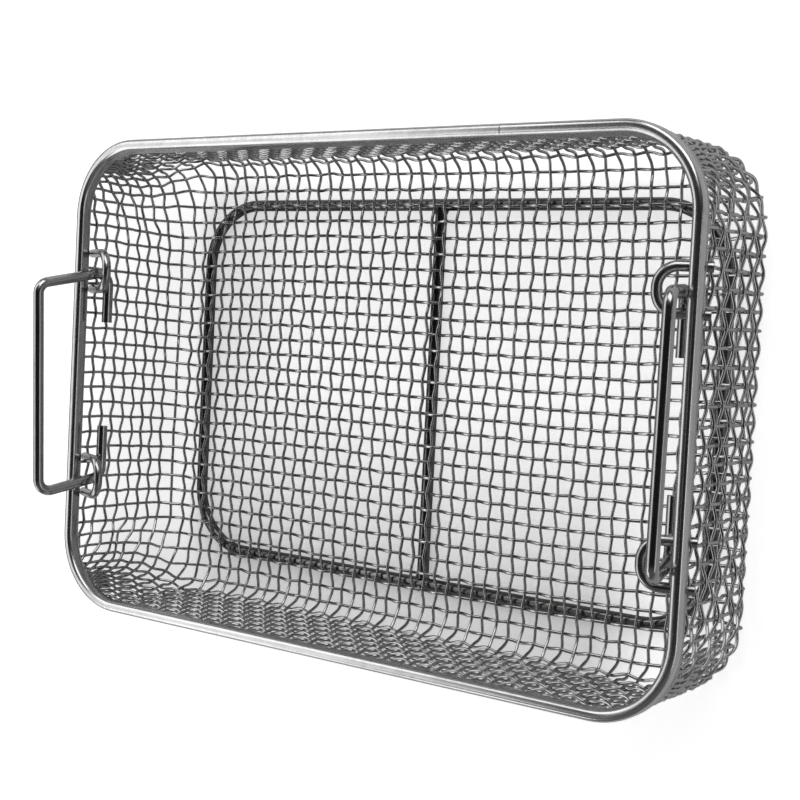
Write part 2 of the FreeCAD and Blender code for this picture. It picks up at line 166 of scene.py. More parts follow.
@dataclass(frozen=True)
class SteelFinish:
    """Drawn steel with streaks along the rod, faint scratches and dull spots.

    Attributes:
        name: Name of the material.
        light: Colour of the bright steel.
        dark: Colour of the dull streaks.
        gloss: Roughness of the bright steel.
        haze: Roughness of the dull streaks.
        streak_length: Length of a streak along the rod, in metres.
        streak_count: How many streaks lie round the rod.
        relief: Height of the drawn lines, in metres.
        spots: Size of the dull spots, in metres.
    """

    name: str
    light: Triple
    dark: Triple
    gloss: float
    haze: float
    streak_length: float = 0.02
    streak_count: float = 6.0
    relief: float = 0.00002
    spots: float = 0.004

    def make(self) -> Steel:
        """Build the material.

        Returns:
            A material whose pattern follows the attributes along and around.
        """
        material = bpy.data.materials.new(self.name)
        material.use_nodes = True
        bench = NodeBench(material.node_tree)
        out = bench.add("ShaderNodeOutputMaterial")
        steel = bench.add("ShaderNodeBsdfPrincipled", inputs={"Metallic": 1.0})
        bench.link(steel.outputs["BSDF"], out.inputs["Surface"])
        streaks = self.streaks(bench)
        spots = self.dull_spots(bench)
        worn = bench.math("MULTIPLY", streaks, bench.span(spots, (0.35, 0.7), (0.4, 1.0)))
        tone = bench.add("ShaderNodeMix", data_type="RGBA")
        tone.inputs["A"].default_value = (*self.light, 1)
        tone.inputs["B"].default_value = (*self.dark, 1)
        bench.link(worn, tone.inputs["Factor"])
        bench.link(tone.outputs["Result"], steel.inputs["Base Color"])
        bench.link(bench.span(worn, (0, 1), (self.gloss, self.haze)), steel.inputs["Roughness"])
        bump = bench.add("ShaderNodeBump", inputs={"Strength": 0.6, "Distance": self.relief})
        bench.link(streaks, bump.inputs["Height"])
        bench.link(bump.outputs["Normal"], steel.inputs["Normal"])
        return material

    def streaks(self, bench: NodeBench) -> Socket:
        """Noise stretched along the rod.

        Args:
            bench: Bench of the material.

        Returns:
            A value from 0 to 1.
        """
        along = bench.add("ShaderNodeAttribute", attribute_name="along")
        around = bench.add("ShaderNodeAttribute", attribute_name="around")
        run = bench.math("DIVIDE", along.outputs["Fac"], self.streak_length)
        turn = bench.math("MULTIPLY", around.outputs["Fac"], 2 * math.pi)
        place = bench.add("ShaderNodeCombineXYZ")
        radius = self.streak_count / (2 * math.pi)
        bench.link(run, place.inputs["X"])
        for axis, operation in (("Y", "COSINE"), ("Z", "SINE")):
            wave = bench.math(operation, turn)
            bench.link(bench.math("MULTIPLY", wave, radius), place.inputs[axis])
        noise = bench.add("ShaderNodeTexNoise", inputs={"Scale": 1.0, "Detail": 5.0})
        bench.link(place.outputs["Vector"], noise.inputs["Vector"])
        return bench.span(noise.outputs["Fac"], (0.32, 0.68), (0.0, 1.0))

    def dull_spots(self, bench: NodeBench) -> Socket:
        """Cloudy noise on the object's own coordinates.

        Args:
            bench: Bench of the material.

        Returns:
            A value from 0 to 1.
        """
        place = bench.add("ShaderNodeTexCoord")
        scale = 1 / self.spots
        noise = bench.add("ShaderNodeTexNoise", inputs={"Scale": scale, "Detail": 3.0})
        bench.link(place.outputs["Object"], noise.inputs["Vector"])
        return noise.outputs["Fac"]


RIM_FINISH = SteelFinish(
    "folded_strip_steel", (0.58, 0.58, 0.58), (0.42, 0.42, 0.42), 0.19, 0.30, 0.06, 7.0, 0.000008
)
WIRE_FINISH = SteelFinish(
    "crimped_wire_steel", (0.47, 0.47, 0.47), (0.31, 0.31, 0.31), 0.13, 0.23, 0.02, 2.0, 0.000004
)
# Painted shade: the base rods' colour is set far darker than the other steel, for the shade of the
# mesh floor above them.
FRAME_PAINTED_SHADE_FINISH = SteelFinish(
    "base_rod_steel_painted_shade", (0.20, 0.20, 0.195), (0.10, 0.10, 0.10), 0.20, 0.34, 0.03, 4.0, 0.00001
)
BAIL_FINISH = SteelFinish(
    "bail_rod_steel", (0.42, 0.42, 0.42), (0.30, 0.30, 0.30), 0.16, 0.26, 0.05, 5.0, 0.000008
)
EYELET_FINISH = SteelFinish(
    "eyelet_rod_steel", (0.42, 0.42, 0.42), (0.26, 0.26, 0.26), 0.20, 0.32, 0.02, 4.0, 0.000008
)
WELD_FINISH = SteelFinish(
    "weld_bead_steel", (0.30, 0.29, 0.28), (0.12, 0.12, 0.12), 0.30, 0.50, 0.002, 3.0, 0.0001, 0.001
)


# ------------------------------------------------------------------- paths


def towards(start: Vector, end: Vector) -> Vector:
    """Unit vector from start to end."""
    return (end - start).normalized()


def rounded_path(
    corners: list[Vector], bend: float, closed: bool, turn_steps: int = 14, step: float = 0.02
) -> list[Vector]:
    """Centreline of a rod with straight runs and a tangent arc in each corner.

    Args:
        corners: Sharp corners, with the free ends first and last on an open rod.
        bend: Bend radius of the centreline.
        closed: True for a loop.
        turn_steps: Segments in each arc.
        step: Longest segment of a straight run.

    Returns:
        Points along the centreline.
    """
    count = len(corners)
    marks: list[Vector] = []
    for index, here in enumerate(corners):
        if not closed and index in (0, count - 1):
            marks.append(here)
            continue
        before = towards(here, corners[index - 1])
        after = towards(here, corners[(index + 1) % count])
        half_turn = before.angle(after) / 2
        middle = here + (before + after).normalized() * (bend / math.sin(half_turn))
        start = here + before * (bend / math.tan(half_turn)) - middle
        axis = before.cross(after)
        sweep = math.pi - 2 * half_turn
        for number in range(turn_steps + 1):
            turn = Matrix.Rotation(-sweep * number / turn_steps, 3, axis)
            marks.append(middle + turn @ start)
    points: list[Vector] = []
    runs = zip(marks, marks[1:] + marks[:1] if closed else marks[1:])
    for start, end in runs:
        pieces = max(1, math.ceil((end - start).length / step))
        points += [start.lerp(end, part / pieces) for part in range(pieces)]
    if closed:
        points.append(points[0].lerp(points[-1], LOOP_GAP / (points[0] - points[-1]).length))
    else:
        points.append(marks[-1])
    return points


def new_object(name: str, data: bpy.types.ID) -> Thing:
    """Object in the scene that holds this data."""
    thing = bpy.data.objects.new(name, data)
    bpy.context.scene.collection.objects.link(thing)
    return thing


def new_mesh(name: str, points: list, edges: list, faces: list) -> Thing:
    """Object in the scene with a mesh of these points, edges and faces."""
    mesh = bpy.data.meshes.new(name)
    mesh.from_pydata(points, edges, faces)
    return new_object(name, mesh)


def wire_mesh(name: str, paths: list[list[Vector]], closed: bool = False) -> Thing:
    """Object whose edges run along centrelines.

    Args:
        name: Name of the object.
        paths: Points of each centreline.
        closed: True if each path is a loop.

    Returns:
        The object, linked to the scene.
    """
    points: list[Vector] = []
    edges: list[tuple[int, int]] = []
    for path in paths:
        first = len(points)
        points += path
        edges += [(index, index + 1) for index in range(first, len(points) - 1)]
        if closed:
            edges.append((len(points) - 1, first))
    return new_mesh(name, points, edges, [])


class BakedTree:
    """Geometry Nodes tree with named inputs, whose result is kept as a plain mesh."""

    def __init__(self, name: str, given: str, inputs: dict[str, str], made: str) -> None:
        """Make the tree's sockets.

        Args:
            name: Name of the tree.
            given: Name of the geometry that comes in.
            inputs: Kinds of the other inputs, by their names.
            made: Name of the geometry that goes out.
        """
        self.tree = bpy.data.node_groups.new(name, "GeometryNodeTree")
        face = self.tree.interface
        face.new_socket(given, in_out="INPUT", socket_type="NodeSocketGeometry")
        self.sockets = {
            title: face.new_socket(title, in_out="INPUT", socket_type=f"NodeSocket{kind}")
            for title, kind in inputs.items()
        }
        face.new_socket(made, in_out="OUTPUT", socket_type="NodeSocketGeometry")

    def bake(self, thing: Thing, values: dict[str, object]) -> Thing:
        """Run the tree on an object and keep what it makes.

        Args:
            thing: Object that the tree works on.
            values: Value of each input, by its name.

        Returns:
            The same object with a plain mesh and no modifier.
        """
        step = thing.modifiers.new(self.tree.name, "NODES")
        step.node_group = self.tree
        for title, value in values.items():
            step[self.sockets[title].identifier] = value
        graph = bpy.context.evaluated_depsgraph_get()
        made = bpy.data.meshes.new_from_object(thing.evaluated_get(graph), depsgraph=graph)
        thing.modifiers.clear()
        spare = thing.data
        thing.data = made
        bpy.data.meshes.remove(spare)
        made.name = thing.name
        return thing


class RodSweep(BakedTree):
    """Tree that gives centrelines a round section."""

    def __init__(self) -> None:
        """Build the tree."""
        inputs = {"Rod radius": "Float", "Sides": "Int", "Finish": "Material"}
        super().__init__("sweep_round_rod", "Centrelines", inputs, "Rods")
        bench = NodeBench(self.tree)
        given, result = bench.add("NodeGroupInput"), bench.add("NodeGroupOutput")
        curve = bench.add("GeometryNodeMeshToCurve")
        circle = bench.add("GeometryNodeCurvePrimitiveCircle", mode="RADIUS")
        parameter = bench.add("GeometryNodeSplineParameter")
        along, around = self.keep(bench, "along"), self.keep(bench, "around")
        sweep = bench.add("GeometryNodeCurveToMesh", inputs={"Fill Caps": True})
        smooth = bench.add("GeometryNodeSetShadeSmooth")
        real = bench.add("GeometryNodeRealizeInstances")
        dress = bench.add("GeometryNodeSetMaterial")
        bench.join(
            (given, "Centrelines", curve, 0),
            (curve, "Curve", along, "Geometry"),
            (parameter, "Length", along, "Value"),
            (given, "Rod radius", circle, "Radius"),
            (given, "Sides", circle, "Resolution"),
            (circle, "Curve", around, "Geometry"),
            (parameter, "Factor", around, "Value"),
            (along, "Geometry", sweep, "Curve"),
            (around, "Geometry", sweep, "Profile Curve"),
            (sweep, "Mesh", smooth, "Geometry"),
            (smooth, "Geometry", real, "Geometry"),
            (real, "Geometry", dress, "Geometry"),
            (given, "Finish", dress, "Material"),
            (dress, "Geometry", result, "Rods"),
        )

    @staticmethod
    def keep(bench: NodeBench, name: str) -> bpy.types.Node:
        """Add a node that stores a number on each point under this name."""
        kind = "GeometryNodeStoreNamedAttribute"
        return bench.add(kind, data_type="FLOAT", domain="POINT", inputs={"Name": name})

    def run(
        self, thing: Thing, radius: float, sides: int, finish: Steel
    ) -> Thing:
        """Turn the centrelines that an object's edges make into rods."""
        return self.bake(thing, {"Rod radius": radius, "Sides": sides, "Finish": finish})


class BeadScatter(BakedTree):
    """Tree that puts an uneven bead of weld metal on each point."""

    def __init__(self) -> None:
        """Build the tree."""
        inputs = {"Bead radius": "Float", "Seed": "Int", "Finish": "Material"}
        super().__init__("scatter_weld_beads", "Spots", inputs, "Beads")
        bench = NodeBench(self.tree)
        given, result = bench.add("NodeGroupInput"), bench.add("NodeGroupOutput")
        ball = bench.add("GeometryNodeMeshUVSphere", inputs={"Segments": 10, "Rings": 6})
        size = bench.add("FunctionNodeRandomValue", data_type="FLOAT_VECTOR")
        size.inputs[0].default_value = (0.8, 0.8, 0.7)
        size.inputs[1].default_value = (1.2, 1.2, 0.95)
        spread = bench.add("GeometryNodeInstanceOnPoints")
        real = bench.add("GeometryNodeRealizeInstances")
        smooth = bench.add("GeometryNodeSetShadeSmooth")
        dress = bench.add("GeometryNodeSetMaterial")
        bench.join(
            (given, "Bead radius", ball, "Radius"),
            (given, "Seed", size, "Seed"),
            (given, "Spots", spread, "Points"),
            (ball, "Mesh", spread, "Instance"),
            (size, 0, spread, "Scale"),
            (spread, "Instances", real, "Geometry"),
            (real, "Geometry", smooth, "Geometry"),
            (smooth, "Geometry", dress, "Geometry"),
            (given, "Finish", dress, "Material"),
            (dress, "Geometry", result, "Beads"),
        )

    def run(
        self, name: str, spots: list[Vector], radius: float, finish: Steel
    ) -> Thing:
        """Make one mesh of weld beads at these places."""
        values = {"Bead radius": radius, "Seed": BEAD_SEED, "Finish": finish}
        return self.bake(new_mesh(name, spots, [], []), values)


def crease(thing: Thing, degrees: float = 40.0) -> None:
    """Keep the edges sharp where a rod is cut off."""
    thing.data.set_sharp_from_angle(angle=math.radians(degrees))


# -------------------------------------------------------------- woven mesh


@dataclass(frozen=True)
class PanShape:
    """Middle surface of the formed mesh pan.

    Attributes:
        half_x: Half the distance between corner centres along X.
        half_y: The same along Y.
        flat: Radius of the flat floor round a corner centre.
        bend: Radius of the bend from floor to wall.
        floor: Height of the floor's middle surface.
    """

    half_x: float = 118.0 * MM
    half_y: float = 69.8 * MM
    flat: float = 19.8 * MM
    bend: float = 10.0 * MM
    floor: float = 6.5 * MM

    def section(self, run: float) -> tuple[float, float]:
        """Place on the pan's section.

        Args:
            run: Length along the section, outwards from the corner centre.

        Returns:
            Distance from the corner centre, and height.
        """
        past = run - self.flat
        if past <= 0:
            return run, self.floor
        if past < self.bend * math.pi / 2:
            turn = past / self.bend
            rise = self.bend * (1 - math.cos(turn))
            return self.flat + self.bend * math.sin(turn), self.floor + rise
        climb = past - self.bend * math.pi / 2
        return self.flat + self.bend, self.floor + self.bend + climb

    def fold(self, along: float, half: float) -> tuple[float, float]:
        """Fold a flat coordinate over the bend and up the wall.

        Args:
            along: Coordinate on the flat sheet.
            half: Half the distance between corner centres on that axis.

        Returns:
            Coordinate in plan, and height.
        """
        if abs(along) <= half:
            return along, self.floor
        out, height = self.section(abs(along) - half)
        return math.copysign(half + out, along), height

    def distance(self, points: np.ndarray) -> np.ndarray:
        """Signed distance from the middle surface, positive outside.

        Args:
            points: Places, one in each row.

        Returns:
            One distance for each place.
        """
        beyond_x = np.maximum(np.abs(points[:, 0]) - self.half_x, 0)
        beyond_y = np.maximum(np.abs(points[:, 1]) - self.half_y, 0)
        out = np.hypot(beyond_x, beyond_y) - self.flat
        down = self.floor + self.bend - points[:, 2]
        outside = np.hypot(np.maximum(out, 0), np.maximum(down, 0))
        return outside + np.minimum(np.maximum(out, down), 0) - self.bend

    def slope(self, points: np.ndarray) -> np.ndarray:
        """Outward unit normal of the surface.

        Args:
            points: Places on the surface, one in each row.

        Returns:
            One unit vector for each place.
        """
        small = 1e-6
        parts = []
        for axis in range(3):
            shift = np.zeros(3)
            shift[axis] = small
            parts.append(self.distance(points + shift) - self.distance(points - shift))
        normal = np.stack(parts, axis=1) / (2 * small)
        return normal / np.linalg.norm(normal, axis=1)[:, None]


@dataclass(frozen=True)
class SheetDrift:
    """How the forming pulled the sheet out of true, in millimetres.

    The coefficients belong to the powers of x and y, in tenths of a metre on the flat
    sheet, and to the height up the left wall, in twentieths of a metre.

    Attributes:
        across: Coefficients of the shift along X.
        along: Coefficients of the shift along Y.
        reach_x: Furthest place along X at which the powers still grow.
        reach_y: The same along Y.
        wall_start: Where the left wall starts on the sheet.
    """

    across: tuple[float, ...] = (
        0.10, -0.16, 1.88, 0.54, 0.50, 0.36, -0.25, -0.12, 0.36, -1.48, -0.3, 0.0, -5.0,
    )
    along: tuple[float, ...] = (
        -0.11, -0.97, -0.37, -0.09, 0.20, -0.34, 0.02, -0.35, 1.04, 0.91, 2.5, 0.5, -2.0,
    )
    reach_x: float = 1.34
    reach_y: float = 0.84
    wall_start: float = 137.8 * MM

    def shift(self, x: float, y: float) -> tuple[float, float]:
        """Shift of one place on the flat sheet.

        Args:
            x: Place along X.
            y: Place along Y.

        Returns:
            The shift along X and Y.
        """
        u = min(max(x / 0.1, -self.reach_x), self.reach_x)
        v = min(max(y / 0.1, -self.reach_y), self.reach_y)
        w = min(max((-x - self.wall_start) / 0.05, 0.0), 1.0)
        powers = (1, u, v, u * v, u * u, v * v, u * v * v, u * u * v, u**3, v**3)
        powers += (w, w * v, w * v * v)
        return tuple(
            MM * sum(number * power for number, power in zip(numbers, powers))
            for numbers in (self.across, self.along)
        )


@dataclass
class WovenMesh:
    """Plain weave of crimped wires, drawn over the pan like a net.

    Attributes:
        pan: Surface that the net lies on.
        pitch_x: Distance between the wires that run along Y.
        pitch_y: Distance between the wires that run along X.
        phase_x: Place of the first wire along Y on the flat sheet, in pitches.
        phase_y: Place of wire number 0 along X on the flat sheet.
        drift: How the sheet was pulled out of true.
        crimp: How far a wire swings out of the middle surface.
        radius: Radius of a wire.
        edge: Height at which the wires end inside the rim.
        climb: How far the sheet reaches past the corner centres before it is trimmed.
        wander: Unevenness of the weave.
        seed: Seed of the unevenness.
        rounds: How often the corners are evened out.
        pinches: Places where two wires nearly touch, and how much they are pulled together.
        pinch_reach: How far a pinch reaches.
        parts: Points between two crossings.
        sides: Sides of a wire's section.
        crossings: Places of the crossings along each wire, filled in by build.
    """

    pan: PanShape = field(default_factory=PanShape)
    pitch_x: float = 6.196 * MM
    pitch_y: float = 6.66 * MM
    phase_x: float = 19.39
    phase_y: float = 78.94 * MM
    drift: SheetDrift = field(default_factory=SheetDrift)
    crimp: float = 0.71 * MM
    radius: float = 0.66 * MM
    edge: float = 68.0 * MM
    climb: float = 92.0 * MM
    wander: float = 0.14 * MM
    seed: int = 7
    rounds: int = 30
    pinches: tuple[tuple[Triple, float], ...] = (
        ((-147.8 * MM, -79.1 * MM, 41.1 * MM), 0.9),
        ((-147.8 * MM, 74.5 * MM, 45.5 * MM), 0.8),
        ((-147.8 * MM, 73.0 * MM, 32.8 * MM), 0.8),
    )
    pinch_reach: float = 7.0 * MM
    parts: int = 5
    sides: int = 6
    crossings: list[np.ndarray] = field(default_factory=list)

    def build(self, sweep: RodSweep, finish: Steel) -> list[Thing]:
        """Make both families of wires.

        Args:
            sweep: Tree that gives the wires their section.
            finish: Material of the wires.

        Returns:
            The short wires and the long wires.
        """
        places, columns, rows = self.drape()
        self.crossings = [places[c] for c in range(len(columns))]
        self.crossings += [places[:, r] for r in range(len(rows))]
        ups = self.pan.slope(places.reshape(-1, 3)).reshape(places.shape)
        signs = np.where((columns[:, None] + rows[None, :]) % 2 == 0, -1.0, 1.0)
        short = [self.crimped(places[c], ups[c], signs[c]) for c in range(len(columns))]
        long = [self.crimped(places[:, r], ups[:, r], -signs[:, r]) for r in range(len(rows))]
        made = []
        for name, wires in (("short_mesh_wires", short), ("long_mesh_wires", long)):
            thing = wire_mesh(name, [wire for wire in wires if len(wire) > 2])
            made.append(sweep.run(thing, self.radius, self.sides, finish))
        return made

    def drape(self) -> tuple[np.ndarray, np.ndarray, np.ndarray]:
        """Place every crossing of the weave on the pan.

        Returns:
            Places by column and row, and the numbers of the columns and rows.
        """
        reach_x = (self.pan.half_x + self.climb) / self.pitch_x
        first, last = -reach_x + self.phase_x, reach_x + self.phase_x
        columns = np.arange(math.ceil(first), math.floor(last) + 1)
        reach_y = self.pan.half_y + self.climb
        top = (self.phase_y - reach_y) / self.pitch_y
        bottom = (self.phase_y + reach_y) / self.pitch_y
        rows = np.arange(math.ceil(top), math.floor(bottom) + 1)
        sheet_x = (columns - self.phase_x) * self.pitch_x
        sheet_y = self.phase_y - rows * self.pitch_y
        places = np.full((len(columns), len(rows), 3), np.nan)
        chance = np.random.default_rng(self.seed)
        for c, x in enumerate(sheet_x):
            for r, y in enumerate(sheet_y):
                if abs(x) <= self.pan.half_x or abs(y) <= self.pan.half_y:
                    places[c, r] = self.flat_place(x, y, chance)
        inside_x = np.flatnonzero(np.abs(sheet_x) <= self.pan.half_x)
        inside_y = np.flatnonzero(np.abs(sheet_y) <= self.pan.half_y)
        outer_c = (range(inside_x[-1] + 1, len(columns)), range(inside_x[0] - 1, -1, -1))
        outer_r = (range(inside_y[-1] + 1, len(rows)), range(inside_y[0] - 1, -1, -1))
        for right in outer_c:
            for up in outer_r:
                for r in up:
                    for c in right:
                        places[c, r] = self.netted(places, c, r, right.step, up.step)
        corner = (np.abs(sheet_x) > self.pan.half_x)[:, None] & (np.abs(sheet_y) > self.pan.half_y)
        self.relax(places, corner)
        for place, pull in self.pinches:
            away = places - np.array(place)
            nearness = np.exp(-(away**2).sum(axis=2) / self.pinch_reach**2)
            places[:, :, 2] -= pull * away[:, :, 2] * nearness
        return places, columns, rows

    def relax(self, places: np.ndarray, loose: np.ndarray) -> None:
        """Even out the crowded crossings in the pan's corners.

        Args:
            places: Places by column and row, changed in place.
            loose: True for each crossing that may move.
        """
        for _ in range(self.rounds):
            wide = np.pad(places, ((1, 1), (1, 1), (0, 0)), constant_values=np.nan)
            beside = np.stack([wide[:-2, 1:-1], wide[2:, 1:-1], wide[1:-1, :-2], wide[1:-1, 2:]])
            free = loose & ~np.isnan(beside).any(axis=(0, 3)) & ~np.isnan(places).any(axis=2)
            moved = 0.5 * (places[free] + beside.mean(axis=0)[free])
            moved -= self.pan.slope(moved) * self.pan.distance(moved)[:, None]
            places[free] = moved

    def flat_place(
        self, x: float, y: float, chance: np.random.Generator
    ) -> Triple:
        """Fold a crossing of the flat sheet up a straight wall.

        Args:
            x: Place along X on the sheet.
            y: Place along Y on the sheet.
            chance: Source of the unevenness.

        Returns:
            The place on the pan.
        """
        shift_x, shift_y = self.drift.shift(x, y)
        loose_x, loose_y = chance.normal(0.0, self.wander, 2)
        plan_x, height_x = self.pan.fold(x + shift_x + loose_x, self.pan.half_x)
        plan_y, height_y = self.pan.fold(y + shift_y + loose_y, self.pan.half_y)
        return plan_x, plan_y, max(height_x, height_y)

    def netted(self, places: np.ndarray, c: int, r: int, c_step: int, r_step: int) -> np.ndarray:
        """Place a crossing one pitch from its two neighbours and on the pan.

        Args:
            places: Places found so far.
            c: Column of the crossing.
            r: Row of the crossing.
            c_step: Direction of the columns, away from the middle.
            r_step: Direction of the rows, away from the middle.

        Returns:
            The place, or numbers that aren't any where the weave locks.
        """
        across, below = places[c - c_step, r], places[c, r - r_step]
        corner = places[c - c_step, r - r_step]
        none = np.full(3, np.nan)
        if np.isnan(across).any() or np.isnan(below).any():
            return none
        if max(across[2], below[2]) > self.edge + 3 * self.pitch_y:
            return none
        point = across + below - corner
        tries, exact, close, stride = 30, 1e-7, 0.3 * MM, 2 * MM
        for _ in range(tries):
            normal = self.pan.slope(point[None])[0]
            gaps = np.array([
                self.pan.distance(point[None])[0],
                np.linalg.norm(point - across) - self.pitch_x,
                np.linalg.norm(point - below) - self.pitch_y,
            ])
            if np.abs(gaps).max() < exact:
                return point
            lean = np.stack([
                normal,
                (point - across) / np.linalg.norm(point - across),
                (point - below) / np.linalg.norm(point - below),
            ])
            move = np.linalg.lstsq(lean, -gaps, rcond=1e-3)[0]
            point = point + move * min(1.0, stride / max(np.linalg.norm(move), 1e-12))
        return point if np.abs(gaps).max() < close else none

    def crimped(self, places: np.ndarray, ups: np.ndarray, signs: np.ndarray) -> list[Vector]:
        """Centreline of one wire that goes over and under the others.

        Args:
            places: Crossings along the wire.
            ups: Normals of the pan there.
            signs: Side of the middle surface that the wire is on, 1 or -1.

        Returns:
            Points from rim to rim.
        """
        good = ~np.isnan(places).any(axis=1)
        good[good] = places[good][:, 2] <= self.edge + self.pitch_y
        if good.sum() < 3:
            return []
        middle = len(good) // 2
        if not good[middle]:
            return []
        low = high = middle
        while low > 0 and good[low - 1]:
            low -= 1
        while high < len(good) - 1 and good[high + 1]:
            high += 1
        spots, ups, signs = places[low : high + 1], ups[low : high + 1], signs[low : high + 1]
        points: list[np.ndarray] = []
        for k in range(len(spots) - 1):
            before, after = spots[max(k - 1, 0)], spots[min(k + 2, len(spots) - 1)]
            start, end = spots[k], spots[k + 1]
            for part in range(self.parts):
                t = part / self.parts
                spot = self.smooth_step(before, start, end, after, t)
                up = ups[k] * (1 - t) + ups[k + 1] * t
                points.append(spot + up * signs[k] * self.crimp * math.cos(math.pi * t))
        points.append(spots[-1] + ups[-1] * signs[-1] * self.crimp)
        return [Vector(point) for point in points if point[2] <= self.edge]

    @staticmethod
    def smooth_step(
        before: np.ndarray, start: np.ndarray, end: np.ndarray, after: np.ndarray, t: float
    ) -> np.ndarray:
        """Point on a smooth curve through four crossings.

        Args:
            before: Crossing before the span.
            start: Crossing at the start of the span.
            end: Crossing at the end of the span.
            after: Crossing after the span.
            t: Part of the span, from 0 to 1.

        Returns:
            The point.
        """
        bow = 2 * before - 5 * start + 4 * end - after
        swing = 3 * start - before - 3 * end + after
        return start + 0.5 * t * ((end - before) + t * (bow + t * swing))


# --------------------------------------------------------------- solid parts


@dataclass
class FoldedRim:
    """Strip folded over the mesh edge to an upside-down channel.

    Attributes:
        half_x: Half the outer length.
        half_y: Half the outer width.
        corner: Outer corner radius in plan.
        band: Width of the folded channel.
        depth: Height of the channel.
        sheet: Thickness of the strip.
        round: Radius of the outer fold.
        top: Height of the rim's top.
        flare: How far the inner lip opens on the rear side.
        seam_x: Place of the welded butt joint on the rear side.
    """

    half_x: float = 150.0 * MM
    half_y: float = 101.8 * MM
    corner: float = 32.0 * MM
    band: float = 4.4 * MM
    depth: float = 5.2 * MM
    sheet: float = 0.75 * MM
    round: float = 1.9 * MM
    top: float = 69.2 * MM
    flare: float = 1.3 * MM
    seam_x: float = 70.2 * MM

    def section(self) -> list[tuple[float, float]]:
        """Outline of the folded strip.

        Returns:
            Pairs of inset from the outer face and height.
        """
        low, steps = self.top - self.depth, 7
        outer = self.arc(self.round, self.round, math.pi, math.pi / 2, 0.0, steps)
        outer += self.arc(self.band - self.round, self.round, math.pi / 2, 0, 0.0, steps)
        inner_round = self.round - self.sheet
        inner = self.arc(self.band - self.round, inner_round, 0, math.pi / 2, self.sheet, steps)
        inner += self.arc(self.round, inner_round, math.pi / 2, math.pi, self.sheet, steps)
        edge = 0.12 * MM
        outside = [(edge, low), (0.0, low + edge)] + outer
        outside += [(self.band, low + edge), (self.band - edge, low)]
        inside = [(self.band - self.sheet + edge, low), (self.band - self.sheet, low + edge)]
        inside += inner + [(self.sheet, low + edge), (self.sheet - edge, low)]
        return outside + inside

    def arc(
        self, inset: float, radius: float, start: float, end: float, below: float, steps: int
    ) -> list[tuple[float, float]]:
        """Points of one fold.

        Args:
            inset: Inset of the arc's middle.
            radius: Radius of the arc.
            start: First angle.
            end: Last angle.
            below: How far the arc's crown lies below the rim's top.
            steps: Number of segments.

        Returns:
            Pairs of inset and height.
        """
        middle = self.top - below - radius
        angles = np.linspace(start, end, steps + 1)
        return [(inset + radius * math.cos(a), middle + radius * math.sin(a)) for a in angles]

    def stations(self) -> list[tuple[Vector, Vector]]:
        """Places along the outer face in plan.

        Returns:
            Pairs of a point and the unit vector towards the inside.
        """
        plan_x, plan_y = self.half_x - self.corner, self.half_y - self.corner
        turns, result = 20, []
        for quarter, (sx, sy) in enumerate(((1, 1), (-1, 1), (-1, -1), (1, -1))):
            middle = Vector((sx * plan_x, sy * plan_y, 0))
            for number in range(turns + 1):
                angle = math.radians(90 * (quarter + number / turns))
                out = Vector((math.cos(angle), math.sin(angle), 0))
                result.append((middle + out * self.corner, -out))
        return result

    def build(self, finish: Steel) -> Thing:
        """Make the rim.

        Args:
            finish: Material of the strip.

        Returns:
            The rim as one closed mesh.
        """
        stations = self.subdivide(self.stations(), 12 * MM)
        section = self.section()
        points, along, around = [], [], []
        run, previous = 0.0, stations[0][0]
        for place, inwards in stations:
            run += (place - previous).length
            previous = place
            rear = max(0.0, -inwards.y) ** 2
            for number, (inset, height) in enumerate(section):
                if inset > self.band / 2:
                    inset += self.flare * rear * (self.top - height) / self.depth
                points.append(place + inwards * inset + Vector((0, 0, height)))
                along.append(run)
                around.append(number / len(section))
        faces = []
        ring, rounds = len(section), len(stations)
        for s in range(rounds):
            for p in range(ring):
                a, b = s * ring + p, s * ring + (p + 1) % ring
                c, d = ((s + 1) % rounds) * ring + (p + 1) % ring, ((s + 1) % rounds) * ring + p
                faces.append((a, b, c, d))
        thing = new_mesh("folded_rim", points, [], faces)
        for name, values in (("along", along), ("around", around)):
            thing.data.attributes.new(name, "FLOAT", "POINT").data.foreach_set("value", values)
        thing.data.materials.append(finish)
        thing.data.shade_smooth()
        crease(thing, 50)
        return thing

    def seam(self, sweep: RodSweep, finish: Steel) -> Thing:
        """Make the low ridge of the joint where the strip's ends meet.

        Args:
            sweep: Tree that gives the ridge its section.
            finish: Material of the weld.

        Returns:
            The ridge.
        """
        sunk, ridge = 0.32 * MM, 0.42 * MM
        reach = self.round - sunk
        path = self.arc(self.round, reach, math.radians(150), math.pi / 2, sunk, 6)
        path += self.arc(self.band - self.round, reach, math.pi / 2, 0, sunk, 6)
        path.append((self.band - sunk + 0.5 * self.flare, self.top - 0.6 * self.depth))
        points = [Vector((self.seam_x, self.half_y - inset, height)) for inset, height in path]
        return sweep.run(wire_mesh("rim_joint_weld", [points]), ridge, 10, finish)

    @staticmethod
    def subdivide(
        stations: list[tuple[Vector, Vector]], step: float
    ) -> list[tuple[Vector, Vector]]:
        """Split the straight runs, and end just before the first station.

        Args:
            stations: Stations round the rim.
            step: Longest segment.

        Returns:
            More stations.
        """
        result = []
        for index, (place, inwards) in enumerate(stations):
            following = stations[(index + 1) % len(stations)][0]
            pieces = max(1, math.ceil((following - place).length / step))
            for part in range(pieces):
                result.append((place.lerp(following, part / pieces), inwards))
        place, inwards = stations[0]
        last = result[-1][0]
        result.append((place.lerp(last, LOOP_GAP / (last - place).length), inwards))
        return result


